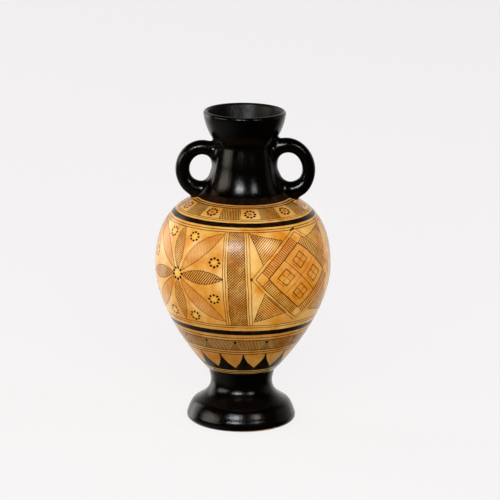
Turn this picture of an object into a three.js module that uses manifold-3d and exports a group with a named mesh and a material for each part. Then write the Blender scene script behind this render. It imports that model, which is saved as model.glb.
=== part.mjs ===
// A small two-handled amphora of thrown, painted and glazed clay: a spreading foot that is hollow beneath,
// an egg-shaped belly, a short neck with a cup mouth, and a ring handle on each side of the neck.
// It is one fired piece, so it is one solid. Millimetres, +Z up, the handles along X, the painted front
// towards -Y, and the origin at the centre of the standing ring.

import * as THREE from 'three';
import { mergeVertices } from 'three/addons/utils/BufferGeometryUtils.js';
import Module from 'manifold-3d';

const wasm = await Module();
wasm.setup();

// Height and the main lines of the outer wall, each [radius, height above the ground]
const HEIGHT = 200;
const STANDING_EDGE = [31.5, 0];
const FOOT_EDGE = [34.4, 3.5];
const FOOT_CREASE = [33.2, 8.2];
const FOOT_SWEEP = [26.4, 15.8];
const STEM_WAIST = [19.5, 26.7];
const STEM_TOP = [21.1, 34.5];
const BELLY_BASE = [22.2, 34.9];
const BELLY = [55.3, 101];
const SHOULDER_EDGE = [29, 145];
const NECK = [19.2, 167];
const THROAT = [17.1, 178.2];
const LIP_RADIUS = 1.6;
const MOUTH = [25.95, HEIGHT - LIP_RADIUS];

// Clay thicknesses
const WALL = 4;
const FLOOR_HEIGHT = 40;
const STANDING_RING_WIDTH = 5.4;
const FOOT_HOLLOW_HEIGHT = 28;

// The two ring handles: the middle of each bar is an ellipse, [distance from the axis, height] at its centre,
// that leans towards the neck and closes inside the neck's wall. The right one was set a little higher,
// leans further and was drawn out a little thinner.
const LEFT_HANDLE = {
  turn: Math.PI,
  centre: [26.6, 162.8],
  halfWidth: 12,
  halfHeight: 13.4,
  lean: THREE.MathUtils.degToRad(8),
  bar: { outer: 4.5, top: 4.6, bottom: 5.3 },
};
const RIGHT_HANDLE = {
  turn: 0,
  centre: [28.1, 163.8],
  halfWidth: 12.3,
  halfHeight: 14.5,
  lean: THREE.MathUtils.degToRad(16),
  bar: { outer: 4.1, top: 4.8, bottom: 5.4 },
};

// Facets
const TURN_FACETS = 52;
const OUTSIDE_FACETS = { belly: 9, shoulder: 9, neck: 5, throat: 3, cup: 4 };
const INSIDE_FACETS = { belly: 6, shoulder: 6, neck: 3, throat: 2, cup: 3 };
const BAR_FACETS = 12;
const RING_FACETS = 32;

const GLAZED_CLAY = new THREE.MeshStandardMaterial({ color: 0xc08a45, roughness: 0.35, metalness: 0 });

// One stretch of a profile from one line to the next, bent towards two pull points
function stretch(from, pullFrom, pullTo, to, steps) {
  const ends = [from, pullFrom, pullTo, to].map(([radius, height]) => new THREE.Vector2(radius, height));
  return new THREE.CubicBezierCurve(...ends).getPoints(steps);
}

// A quarter of the rounded lip, from one direction to the other, in degrees from the outward radius
function lipQuarter(fromDegrees, toDegrees) {
  const centre = new THREE.Vector2(MOUTH[0] - LIP_RADIUS, MOUTH[1]);
  const steps = 3;
  return Array.from({ length: steps + 1 }, (_, step) => {
    const angle = THREE.MathUtils.degToRad(fromDegrees + ((toDegrees - fromDegrees) * step) / steps);
    return new THREE.Vector2(Math.cos(angle), Math.sin(angle)).multiplyScalar(LIP_RADIUS).add(centre);
  });
}

// The foot: a rounded standing edge, an upright side, a dome and a hollow sweep up to the stem
function footProfile() {
  return [
    ...stretch(STANDING_EDGE, [32.3, 0.4], [34.4, 1.6], FOOT_EDGE, 2),
    ...stretch(FOOT_EDGE, [34.4, 6], [33.6, 6.2], FOOT_CREASE, 2),
    ...stretch(FOOT_CREASE, [30.8, 13.9], [30, 13.5], FOOT_SWEEP, 4),
    ...stretch(FOOT_SWEEP, [21.3, 19], [19.5, 21.9], STEM_WAIST, 4),
    ...stretch(STEM_WAIST, [19.5, 28.7], [20.8, 32.8], STEM_TOP, 2),
  ];
}

// The belly, shoulder, neck and cup, from the ledge above the stem to the lip, with so many facets up each
function bodyProfile(facets) {
  return [
    ...stretch(BELLY_BASE, [37.2, 51], [55.3, 78.5], BELLY, facets.belly),
    ...stretch(BELLY, [55.3, 127], [45.5, 139.7], SHOULDER_EDGE, facets.shoulder),
    ...stretch(SHOULDER_EDGE, [24.5, 147.2], [20.6, 156], NECK, facets.neck),
    ...stretch(NECK, [18.5, 172.5], [16.5, 175.6], THROAT, facets.throat),
    ...stretch(THROAT, [21, 182.7], [25.3, 190.6], MOUTH, facets.cup),
  ];
}

// Leaves out points that stand on the one before
function withoutRepeats(points) {
  const nearest = 0.05;
  return points.filter((point, index) => index === 0 || point.distanceTo(points[index - 1]) > nearest);
}

// The same profile moved inwards by the wall's thickness, square to itself
function inset(points, thickness) {
  return points.map((point, index) => {
    const before = points[Math.max(index - 1, 0)];
    const after = points[Math.min(index + 1, points.length - 1)];
    const along = after.clone().sub(before).normalize();
    return new THREE.Vector2(point.x - along.y * thickness, point.y + along.x * thickness);
  });
}

// Turns a profile that starts and ends on the axis into a closed solid of revolution about Z
function turned(profile) {
  const geometry = new THREE.LatheGeometry(profile, TURN_FACETS);
  geometry.rotateX(Math.PI / 2);
  return toSolid(geometry);
}

// Merges the corners that faces share and makes a solid of them
function toSolid(geometry) {
  geometry.deleteAttribute('normal');
  geometry.deleteAttribute('uv');
  const merged = mergeVertices(geometry, 1e-4);
  const corners = merged.getIndex().array;
  const triangles = [];
  for (let first = 0; first < corners.length; first += 3) {
    const [a, b, c] = [corners[first], corners[first + 1], corners[first + 2]];
    if (a !== b && b !== c && c !== a) triangles.push(a, b, c);
  }
  const vertices = new Float32Array(merged.getAttribute('position').array);
  return new wasm.Manifold(
    new wasm.Mesh({ numProp: 3, vertProperties: vertices, triVerts: new Uint32Array(triangles) }),
  );
}

function toGeometry(solid) {
  const mesh = solid.getMesh();
  const geometry = new THREE.BufferGeometry();
  geometry.setAttribute('position', new THREE.BufferAttribute(mesh.vertProperties, 3));
  geometry.setIndex(new THREE.BufferAttribute(mesh.triVerts, 1));
  geometry.computeVertexNormals();
  return geometry;
}

// How thick the bar is, from its middle to its skin, at an angle round the ring from its outermost point
function barRadius(bar, angle) {
  const end = Math.sin(angle) > 0 ? bar.top : bar.bottom;
  const towardsNeck = Math.cos(angle) < 0 ? 1 : Math.sin(angle) ** 4;
  return bar.outer + (end - bar.outer) * towardsNeck;
}

// One handle: a torus drawn out into a leaning ellipse, with a bar that is thinnest at its outermost point
function handleSolid({ turn, centre, halfWidth, halfHeight, lean, bar }) {
  const tube = 0.5;
  const geometry = new THREE.TorusGeometry(1, tube, BAR_FACETS, RING_FACETS);
  const corners = geometry.getAttribute('position');
  const place = new THREE.Vector2();
  const origin = new THREE.Vector2(0, 0);
  for (let index = 0; index < corners.count; index += 1) {
    const [x, y, z] = [corners.getX(index), corners.getY(index), corners.getZ(index)];
    const angle = Math.atan2(y, x);
    const outward = new THREE.Vector2(Math.cos(angle) / halfWidth, Math.sin(angle) / halfHeight).normalize();
    const thickness = barRadius(bar, angle) / tube;
    place.set(halfWidth * Math.cos(angle), halfHeight * Math.sin(angle));
    place.addScaledVector(outward, (Math.hypot(x, y) - 1) * thickness);
    place.rotateAround(origin, lean);
    corners.setXYZ(index, centre[0] + place.x, centre[1] + place.y, z * thickness);
  }
  geometry.rotateX(Math.PI / 2);
  geometry.rotateZ(turn);
  return toSolid(geometry);
}

// The outside of the pot without its handles, solid to the axis
function outerSolid() {
  const apex = new THREE.Vector2(MOUTH[0] - LIP_RADIUS, HEIGHT);
  return turned(withoutRepeats([
    new THREE.Vector2(0, 0),
    ...footProfile(),
    ...bodyProfile(OUTSIDE_FACETS),
    ...lipQuarter(0, 90),
    apex,
    new THREE.Vector2(0, HEIGHT),
  ]));
}

// The space inside, from the floor of the belly out through the mouth
function cavitySolid() {
  const clearance = 10;
  const flatShareOfFloor = 0.7;
  const wall = inset(withoutRepeats(bodyProfile(INSIDE_FACETS)), WALL);
  const lowest = FLOOR_HEIGHT + WALL / 2;
  const highest = MOUTH[1] - 2 * LIP_RADIUS;
  const side = wall.filter((point) => point.y > lowest && point.y < highest);
  return turned(withoutRepeats([
    new THREE.Vector2(0, FLOOR_HEIGHT),
    new THREE.Vector2(side[0].x * flatShareOfFloor, FLOOR_HEIGHT),
    ...side,
    ...lipQuarter(180, 90),
    new THREE.Vector2(MOUTH[0] - LIP_RADIUS, HEIGHT + clearance),
    new THREE.Vector2(0, HEIGHT + clearance),
  ]));
}

// The hollow under the foot, inside the standing ring
function footHollowSolid() {
  const below = -5;
  const ringInside = STANDING_EDGE[0] - STANDING_RING_WIDTH;
  return turned(withoutRepeats([
    new THREE.Vector2(0, below),
    new THREE.Vector2(ringInside, below),
    ...stretch([ringInside, 0], [22, 8], [13, 12], [12.6, 22], 5),
    ...stretch([12.6, 22], [12.4, 25.5], [8, FOOT_HOLLOW_HEIGHT], [0, FOOT_HOLLOW_HEIGHT], 4),
  ]));
}

function amphoraSolid() {
  const handles = [LEFT_HANDLE, RIGHT_HANDLE].map(handleSolid);
  const outside = handles.reduce((pot, handle) => pot.add(handle), outerSolid());
  return outside.subtract(cavitySolid()).subtract(footHollowSolid());
}

const amphora = new THREE.Mesh(toGeometry(amphoraSolid()), GLAZED_CLAY);
amphora.name = 'amphora';

const group = new THREE.Group();
group.add(amphora);

export default group;
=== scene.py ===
"""A small painted amphora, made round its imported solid: the thrown wall and the ring handles as one fine
mesh, the brushed pattern and the glazes as node materials, and a plain pale stage.

The pot's sizes are millimetres and its heights are above the ground. A place on the painted wall is its turn
(degrees round the axis from the front, rising to the right) and its run (millimetres up the wall's surface).
Meshes, the stage and the settings are in metres.
"""

import math

import bmesh
import bpy
import numpy as np
from mathutils import Matrix, Vector


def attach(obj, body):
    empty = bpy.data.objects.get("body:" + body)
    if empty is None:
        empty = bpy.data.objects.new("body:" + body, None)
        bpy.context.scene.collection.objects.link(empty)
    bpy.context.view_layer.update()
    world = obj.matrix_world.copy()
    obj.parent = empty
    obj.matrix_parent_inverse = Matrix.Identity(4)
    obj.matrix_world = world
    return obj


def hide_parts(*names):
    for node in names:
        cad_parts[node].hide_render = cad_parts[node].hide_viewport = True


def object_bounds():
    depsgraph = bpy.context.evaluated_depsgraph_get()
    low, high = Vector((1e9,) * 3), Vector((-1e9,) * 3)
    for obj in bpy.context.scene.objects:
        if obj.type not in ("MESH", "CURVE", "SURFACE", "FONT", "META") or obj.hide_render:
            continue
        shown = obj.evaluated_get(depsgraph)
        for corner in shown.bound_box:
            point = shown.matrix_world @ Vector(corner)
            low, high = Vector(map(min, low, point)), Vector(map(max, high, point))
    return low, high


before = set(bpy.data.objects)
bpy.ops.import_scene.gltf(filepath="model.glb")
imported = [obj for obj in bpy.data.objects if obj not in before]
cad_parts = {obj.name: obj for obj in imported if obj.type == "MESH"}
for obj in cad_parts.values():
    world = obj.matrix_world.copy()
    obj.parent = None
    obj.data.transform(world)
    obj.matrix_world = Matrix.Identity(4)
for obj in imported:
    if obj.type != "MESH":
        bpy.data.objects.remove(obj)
cad_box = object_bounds()

bl_info = {
    "name": "Painted amphora",
    "version": (1, 0, 0),
    "blender": (4, 5, 0),
    "location": "3D View > Sidebar > Amphora",
    "description": "A thrown, painted and glazed amphora with ring handles, on a plain stage",
    "category": "Add Mesh",
}

MM = 0.001

# The outer wall's main lines, each [radius, height], as in the solid
HEIGHT = 200
STANDING_EDGE = (31.5, 0)
FOOT_EDGE = (34.4, 3.5)
FOOT_CREASE = (33.2, 8.2)
FOOT_SWEEP = (26.4, 15.8)
STEM_WAIST = (19.5, 26.7)
STEM_TOP = (21.1, 34.5)
BELLY_BASE = (22.2, 34.9)
BELLY = (55.3, 101)
SHOULDER_EDGE = (29, 145)
NECK = (19.2, 167)
THROAT = (17.1, 178.2)
LIP_RADIUS = 1.6
MOUTH = (25.95, HEIGHT - LIP_RADIUS)

# Clay thicknesses and the hollow under the foot
WALL = 4
FLOOR_HEIGHT = 40
STANDING_RING_WIDTH = 5.4
STANDING_RING_INSIDE = STANDING_EDGE[0] - STANDING_RING_WIDTH
FOOT_HOLLOW_HEIGHT = 28
FOOT_HOLLOW_SIDE = (12.6, 22)

# The ring handles: the middle of each bar is a leaning ellipse, as in the solid
LEFT_HANDLE = {
    "turn": math.pi,
    "centre": (26.6, 162.8),
    "half_width": 12,
    "half_height": 13.4,
    "lean": math.radians(8),
    "bar": {"outer": 4.5, "top": 4.6, "bottom": 5.3},
}
RIGHT_HANDLE = {
    "turn": 0,
    "centre": (28.1, 163.8),
    "half_width": 12.3,
    "half_height": 14.5,
    "lean": math.radians(16),
    "bar": {"outer": 4.1, "top": 4.8, "bottom": 5.4},
}

# How steeply the bar's thickness passes from its lower half's to its upper half's, beside the neck
BAR_PASSAGE = 2.5

# The heights between which handles meet the wall
JOINT_HEIGHTS = (138, 190)

# The run at the belly's base, the two runs inside black bands that part the three painted zones, and the
# height above which the wall is all black
RUN_AT_BELLY_BASE = 4.9
LOWER_ZONE_TOP = 45.7
FRIEZE_TOP = 118.2
PAINT_TOP_HEIGHT = 149

# The camera, from the photograph's outline: its distance and its target, across and up, in metres
CAMERA_ELEVATION = math.radians(13.48)
CAMERA_ROLL = math.radians(0.726)
CAMERA_DISTANCE = 2.4
CAMERA_TARGET = (0.00437, 0.11029)
CAMERA_LENS = 274.1


def cad_size(axis):
    """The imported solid's size along an axis, in metres."""
    return cad_box[1][axis] - cad_box[0][axis]


# Node trees


def add_node(tree, kind, inputs=None, **settings):
    """Adds a node, sets it, and links or fills its inputs, given by name or number."""
    made = tree.nodes.new(kind)
    for name, value in settings.items():
        setattr(made, name, value)
    fill_inputs(tree, made, inputs or {})
    return made


def fill_inputs(tree, node, values):
    """Links or fills a node's inputs, given by name or number."""
    for name, value in values.items():
        fill(tree, node.inputs[name], value)


def fill(tree, socket, value):
    """Links a socket to a term or another node's socket, or sets its value."""
    if isinstance(value, Term):
        tree.links.new(value.socket, socket)
    elif isinstance(value, bpy.types.NodeSocket):
        tree.links.new(value, socket)
    else:
        socket.default_value = value


class Term:
    """A number in a node tree. Its sums and products are Math nodes, so that a pattern reads as a formula."""

    def __init__(self, tree, socket):
        self.tree = tree
        self.socket = socket

    def worked(self, operation, *values, clamp=False):
        """A Math node on these values, some of which are terms of this tree."""
        inputs = dict(enumerate(values))
        made = add_node(self.tree, "ShaderNodeMath", inputs, operation=operation, use_clamp=clamp)
        return Term(self.tree, made.outputs[0])

    def __add__(self, other):
        return self.worked("ADD", self, other)

    def __sub__(self, other):
        return self.worked("SUBTRACT", self, other)

    def __rsub__(self, other):
        return self.worked("SUBTRACT", other, self)

    def __mul__(self, other):
        return self.worked("MULTIPLY", self, other)

    def __truediv__(self, other):
        return self.worked("DIVIDE", self, other)

    def __pow__(self, other):
        return self.worked("POWER", self, other)

    def size(self):
        """The number without its sign."""
        return self.worked("ABSOLUTE", self)

    def root(self):
        """The square root."""
        return self.worked("SQRT", self)

    def sine(self):
        """The sine of an angle in radians."""
        return self.worked("SINE", self)

    def cosine(self):
        """The cosine of an angle in radians."""
        return self.worked("COSINE", self)

    def lower(self, other):
        """The lower of two."""
        return self.worked("MINIMUM", self, other)

    def higher(self, other):
        """The higher of two."""
        return self.worked("MAXIMUM", self, other)

    def angle_from(self, across):
        """The angle, in radians, of the point that lies this high and so far across."""
        return self.worked("ARCTAN2", self, across)

    def wrapped(self, low, high):
        """The number brought between low and high by whole steps of their difference."""
        return self.worked("WRAP", self, high, low)

    def folded(self, pitch):
        """How far the number is from the nearest whole multiple of the pitch."""
        return self.worked("PINGPONG", self, pitch / 2)

    def scaled(self, slope, offset, clamp=False):
        """The number times slope, plus offset."""
        return self.worked("MULTIPLY_ADD", self, slope, offset, clamp=clamp)

    def within(self, limit, soft=0.16):
        """1 where the number is under the limit and 0 where it is over, with a soft edge."""
        if isinstance(limit, Term):
            return (self - limit).within(0, soft)
        return self.scaled(-1 / soft, 0.5 + limit / soft, clamp=True)

    def beyond(self, limit, soft=0.16):
        """1 where the number is over the limit and 0 where it is under, with a soft edge."""
        if isinstance(limit, Term):
            return (self - limit).beyond(0, soft)
        return self.scaled(1 / soft, 0.5 - limit / soft, clamp=True)

    def near(self, middle, half, soft=0.16):
        """1 where the number is at most this half width from the middle, with soft edges."""
        return (self - middle).size().within(half, soft)


def axis_terms(tree, vector):
    """The three numbers of a vector."""
    parts = add_node(tree, "ShaderNodeSeparateXYZ", {0: vector})
    return [Term(tree, part) for part in parts.outputs]


def distance(across, up):
    """How far a point is from the one that across and up are measured from."""
    return (across * across + up * up).root()


# The brushed pattern. Every function adds its strokes to the paint's layers. Places and widths are degrees
# across and millimetres up, which are nearly alike on the belly

LINE = 0.6
FINE_LINE = 0.5
STROKE_EDGE = 0.2
DOT_EDGE = 0.3
HEART_EDGE = 1.8


class Paint:
    """Layers of paint on a stretch of wall, each 0 on bare clay and 1 where the paint covers."""

    def __init__(self):
        self.layers = {}

    def add(self, layer, cover):
        """Adds strokes to a layer, over those that are there."""
        present = self.layers.get(layer)
        self.layers[layer] = cover if present is None else present.higher(cover)

    def add_within(self, other, stencil):
        """Adds another paint's layers where the stencil is 1."""
        for layer, cover in other.layers.items():
            self.add(layer, cover.lower(stencil))


def stroke(off, width=LINE):
    """A brushed line, from how far a point is off its middle."""
    return off.size().within(width / 2, STROKE_EDGE)


def hatch(across, pitch, width):
    """Parallel strokes, one at each multiple of the pitch."""
    return across.folded(pitch).within(width / 2, STROKE_EDGE)


def net(across, run, pitch, width):
    """Two crossing families of slanting strokes."""
    return hatch(across + run, pitch, width).higher(hatch(across - run, pitch, width))


def ring_lines(paint, run, runs, layer="ink", width=LINE):
    """Thin brushed lines right round the pot."""
    for place in runs:
        paint.add(layer, stroke(run - place, width))


def dot_ring(paint, across, up, radius, dots, dot_radius, heart, heart_radius):
    """A rosette: a ring of black dots round a heart of another colour, measured from its centre."""
    out = distance(across, up)
    paint.add(heart, out.within(heart_radius, HEART_EDGE))
    along = up.angle_from(across).folded(2 * math.pi / dots) * radius
    paint.add("black", distance(out - radius, along).within(dot_radius, DOT_EDGE))


# The shoulder's rosettes, as degrees from one to the next, the first one's turn, the run at their middles and
# a degree's width there; and the run, half width and half height of the panels between them
ROSETTE_PITCH = 40
FIRST_ROSETTE = 6.4
ROSETTE_RUN = 127.6
DEGREE_ON_SHOULDER = 0.57
PANEL_RUN = 127.8
PANEL_HALF_WIDTH = 10.4
PANEL_HALF_HEIGHT = 5.0


def shoulder_pattern(paint, turn, run, ring_run):
    """Rosettes between hatched panels, thin lines, and black above and below."""
    black_from = 136.5
    brown_from = 132.2
    paint.add("black", ring_run.beyond(black_from))
    paint.add("black", ring_run.near(FRIEZE_TOP, 1.65))
    ring_lines(paint, ring_run, (134.9, 133.1), width=0.8)
    ring_lines(paint, ring_run, (122.5, 121.4), "ink_soft", FINE_LINE)
    paint.add("wash_brown", ring_run.beyond(brown_from, soft=1))
    from_first = turn - FIRST_ROSETTE
    crowding = (from_first * math.radians(1)).sine() * 3.0
    drawn = from_first + crowding
    centred = drawn.wrapped(-ROSETTE_PITCH / 2, ROSETTE_PITCH / 2)
    dot_ring(
        paint, centred * DEGREE_ON_SHOULDER, run - ROSETTE_RUN,
        radius=2.85, dots=9, dot_radius=0.8, heart="red", heart_radius=1.1,
    )
    into_panel = drawn.wrapped(0, ROSETTE_PITCH) - ROSETTE_PITCH / 2
    up = run - PANEL_RUN
    panel = into_panel.size().within(PANEL_HALF_WIDTH).lower(up.size().within(PANEL_HALF_HEIGHT))
    lean = into_panel.scaled(-0.015, 0.28)
    paint.add("ink", hatch(drawn + lean * up, ROSETTE_PITCH / 24, 0.85).lower(panel))
    slant = 1.2
    crossed_from = 6.5
    crossing = hatch(drawn - up * slant, ROSETTE_PITCH / 16, FINE_LINE)
    paint.add("ink_soft", crossing.lower(into_panel.beyond(crossed_from, soft=3)).lower(panel))


# The middles of the flower and of its rosettes, and the tip of the upper right petal from the flower's middle
FLOWER_CENTRE = (-47.1, 83.4)
FLOWER_ROSETTES = (
    (-59, 108.3), (-37.0, 108.4), (-18.9, 93.4), (-18.9, 70.2),
    (-35.3, 56.5), (-56.1, 57), (-77, 92), (-77.5, 69),
)
CORNER_PETAL_TIP = (34.5, 29.0)


def petal(paint, along, across, strokes, start, tip, half_width, bow, layer, wash):
    """A pointed petal: its outline, bowed to one side, and the strokes that fill it."""
    share = along.scaled(1 / (tip - start), -start / (tip - start), clamp=True)
    swell = (share - share * share) * 4
    edge = (across - swell * bow).size() - swell * half_width
    on_petal = along.beyond(start).lower(along.within(tip))
    paint.add("outline", stroke(edge, 0.7).lower(on_petal))
    inside = edge.within(0, 0.3).lower(on_petal)
    paint.add(wash, inside)
    paint.add(layer, strokes.lower(inside))


def flower_pattern(paint, turn, run):
    """A flower of eight petals, with a dotted heart and eight rosettes between the petals."""
    up = run - FLOWER_CENTRE[1]
    from_centre = turn - FLOWER_CENTRE[0]
    across = from_centre + up * 0.065
    sideways = from_centre.size()
    upward = up.size()
    petal(
        paint, upward, across, hatch(up - across * 0.78, 1.5, 0.62),
        start=3.4, tip=30.8, half_width=4.4, bow=0, layer="ink_soft", wash="wash_faint",
    )
    droop = 0.13
    drooped = up - from_centre.lower(0) * droop
    petal(
        paint, sideways, drooped, hatch(from_centre - up * 0.75, 1.62, 0.75),
        start=3.2, tip=34.7, half_width=4.1, bow=0, layer="ink", wash="wash_faint",
    )
    length = math.hypot(*CORNER_PETAL_TIP)
    tip_across = (from_centre + up * 0.03).size()
    along = (tip_across * CORNER_PETAL_TIP[0] + upward * CORNER_PETAL_TIP[1]) / length
    beside = (upward * CORNER_PETAL_TIP[0] - tip_across * CORNER_PETAL_TIP[1]) / length
    petal(
        paint, along, beside, hatch(from_centre + up * 0.12, 1.12, 0.5),
        start=3.6, tip=length, half_width=4.6, bow=1.85, layer="petal_line", wash="wash_petal",
    )
    right_tip = sideways.near(31.5, 2.8).lower(from_centre.beyond(0))
    paint.add("ink", stroke(drooped, FINE_LINE).lower(right_tip))
    dot_ring(paint, across, up, radius=3.5, dots=9, dot_radius=0.9, heart="yellow", heart_radius=1.9)
    flattening = 1.2
    for place in FLOWER_ROSETTES:
        dot_ring(
            paint, turn - place[0], (run - place[1]) * flattening,
            radius=3.3, dots=8, dot_radius=0.88, heart="yellow", heart_radius=1.9,
        )


STRIP_WIDTH = 17.2
STRIP_LINES = (0, 1.5, 3.0, 13.9, 15.3, STRIP_WIDTH)


def strip_pattern(paint, across, run):
    """An upright strip of net between pairs of lines. Across runs from its left edge to its right one."""
    for place in STRIP_LINES:
        paint.add("ink_soft", stroke(across - place, FINE_LINE))
    paint.add("net", net(across, run, 1.73, 0.76).lower(across.near(8.45, 5.4)))


# The diamond's middle and half size. Its other places and widths are shares of its half size
DIAMOND_CENTRE = (41.0, 83.8)
DIAMOND_HALF = (34.6, 30.05)
DIAMOND_BULGE = 0.3
OUTLINE = 1.01
LADDER = (0.69, 0.93)
RUNG_PITCH = 0.06
RUNG_HALF = 0.015
WINDOW_PLACE = 0.335
WINDOW_HALF = 0.178
SILL_PLACE = -0.245
SILL_HALF = 0.14
HAIR = 0.0085


def diamond_pattern(paint, turn, run):
    """A diamond framed by a ladder of short strokes, round a field with four windows."""

    def line(off, width=HAIR):
        """A thin line, from how far a point is off its middle."""
        return off.size().within(width, HAIR)

    across = (turn - DIAMOND_CENTRE[0]) / DIAMOND_HALF[0]
    up = (run - DIAMOND_CENTRE[1]) / DIAMOND_HALF[1]
    out = across.size() + up.size() - across.size() * up.size() * DIAMOND_BULGE
    paint.add("ink_soft", line(out - OUTLINE))
    left_corner = distance((across + 1.015) * 1.3, up)
    paint.add("ink", left_corner.within(0.03, soft=0.03))
    paint.add("ink", line(out - LADDER[1]))
    paint.add("ink", line(out - LADDER[0], HAIR * 1.5))
    rising = across + up
    falling = up - across
    ladder = out.near((LADDER[0] + LADDER[1]) / 2, (LADDER[1] - LADDER[0]) / 2, HAIR)
    along = rising.size().lower(falling.size())
    sides = ladder.lower(along.within(LADDER[0], HAIR))
    rungs = along.folded(RUNG_PITCH).within(RUNG_HALF, soft=0.012).lower(sides)
    reddish = (across * up).within(0, soft=0.02)
    paint.add("wash_petal", sides.lower(reddish))
    paint.add("red_line", rungs.lower(reddish))
    paint.add("ink_soft", rungs.lower(1 - reddish))
    field = out.within(LADDER[0], HAIR)
    paint.add("wash_field", field)
    paint.add("ink_soft", line(rising, HAIR * 1.6).lower(field))
    paint.add("ink_soft", line(falling).lower(field))
    window_rising = rising.wrapped(0, WINDOW_PLACE * 2) - WINDOW_PLACE
    window_falling = falling.wrapped(0, WINDOW_PLACE * 2) - WINDOW_PLACE
    reach = window_rising.size().higher(window_falling.size())
    cross = line(window_rising, HAIR * 1.4).higher(line(window_falling))
    panes = cross.lower(reach.within(WINDOW_HALF, HAIR))
    sill = line(window_rising - SILL_PLACE).lower(window_falling.size().within(SILL_HALF, HAIR))
    windows = line(reach - WINDOW_HALF, HAIR * 1.9).higher(panes).higher(sill)
    four_windows = rising.size().higher(falling.size()).within(LADDER[0] - 0.03, HAIR)
    paint.add("ink_soft", windows.lower(four_windows))


# The corners of the upper right corner piece, from the diamond's middle
CORNER_PIECE = ((34.4, 29.0), (10.6, 23.6), (26.9, 9.0))


def corner_pieces(paint, turn, run):
    """A hatched three-sided piece in each corner of the diamond's panel."""
    above = run - DIAMOND_CENTRE[1] + 0.3
    up = above.size()
    across = (turn - DIAMOND_CENTRE[0] + above * 0.06).size()
    edges = []
    for start, end in zip(CORNER_PIECE, CORNER_PIECE[1:] + CORNER_PIECE[:1]):
        length = math.dist(start, end)
        side = ((end[1] - start[1]) / length, (start[0] - end[0]) / length)
        edges.append(across * side[0] + up * side[1] - (start[0] * side[0] + start[1] * side[1]))
    inside = edges[0].higher(edges[1]).higher(edges[2])
    paint.add("ink_soft", stroke(inside, FINE_LINE))
    piece = inside.within(0)
    paint.add("red_line", hatch(edges[1], 1.32, LINE).lower(piece))
    crossed_from = 12.5
    crossing = hatch((across - up) * 0.72, 1.5, FINE_LINE)
    paint.add("ink", crossing.lower(piece).lower((edges[1] * -1).beyond(crossed_from, soft=3)))


# Where the honey glaze ran together and fired deeper, and where it ran thin and the clay stayed pale: each
# pool's middle and its reach either way. The pale pool at turn 18, run 104 is a painted highlight instead: it
# lightens the clay where the window's sheen falls on the upper corner piece
POOLS = {
    "wash_deep": (
        ((-18.5, 96.5), (6.5, 6.5)), ((-31.5, 91.5), (4.5, 4.5)), ((-18, 68), (6, 9)), ((-37, 56.5), (7, 5)),
        ((-26, 108), (4, 3.5)), ((-57, 73), (5, 5)), ((28, 110), (9, 2.4)), ((29, 84), (6, 6)),
        ((41, 85), (7, 12)), ((42, 71), (7, 5)), ((33, 54.5), (12, 3)), ((10, 78), (3, 3)),
    ),
    "wash_pale_and_sheen": (
        ((5, 97), (4, 10)), ((8, 66), (4, 9)), ((-13.5, 84), (4, 13)), ((47, 55), (13, 3)),
        # The first pool on the next line is a painted highlight: pale clay where the window's sheen falls on
        # the corner piece
        ((18, 104), (7, 4)), ((-31, 101), (6, 5)), ((-30, 63), (6, 5)), ((-66, 100), (7, 7)),
        ((-66, 64), (7, 7)),
    ),
}

# The turns between which the frieze's design lies before it starts again, the runs between which its panels
# lie, the left edge of its second strip, and the small dark mark above the diamond
FRIEZE_TURNS = (-82.1, 97.9)
FRIEZE_RUNS = (51.8, 113.3)
SECOND_STRIP = 79.5
MARK_PLACE = (40.3, 113.6)
MARK_HALF = (2.7, 0.75)
MARK_SLOPE = 0.26


def frieze_pattern(paint, turn, run, ring_run):
    """The main frieze: flower, strip, diamond and strip, twice round, between lines and black bands."""
    lowest, highest = FRIEZE_RUNS
    black_from = 116.6
    black_to = 47.4
    paint.add("black", ring_run.beyond(black_from))
    paint.add("black", ring_run.within(black_to))
    ring_lines(paint, ring_run, (114.9, highest, 51.6, 50.0), "ink_soft")
    local = turn.wrapped(*FRIEZE_TURNS)
    strip_height = 61.3
    down = run.scaled(-1 / strip_height, highest / strip_height, clamp=True)
    left = down * down * 1.8 + down * 0.4 - 13.4
    right = down * down * 1.5 + down * 2.0 + 4.0
    inner = Paint()
    strip_pattern(inner, (local - left) / (right - left) * STRIP_WIDTH, run)
    strip_pattern(inner, local - SECOND_STRIP, run)
    flower_pattern(inner, local, run)
    diamond_pattern(inner, local, run)
    corner_pieces(inner, local, run)
    beside = local - MARK_PLACE[0]
    above = run - MARK_PLACE[1] - beside * MARK_SLOPE
    paint.add("ink", distance(beside / MARK_HALF[0], above / MARK_HALF[1]).within(1, soft=0.4))
    for wash, pools in POOLS.items():
        for place, reach in pools:
            spread = distance((local - place[0]) / reach[0], (run - place[1]) / reach[1])
            inner.add(wash, spread.within(1, soft=0.9))
    paint.add_within(inner, ring_run.beyond(lowest).lower(ring_run.within(highest)))


# The low frieze's netted triangles, as degrees from one to the next and the run at their feet, and the clay
# tongues below it, as degrees from one to the next, the run at their tops, their length and half width
TRIANGLE_PITCH = 360 / 13
TRIANGLE_RUN = 30.4
TONGUE_PITCH = 24
TONGUE_TOP = 26
TONGUE_LENGTH = 13.4
TONGUE_HALF = 11.3


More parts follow.
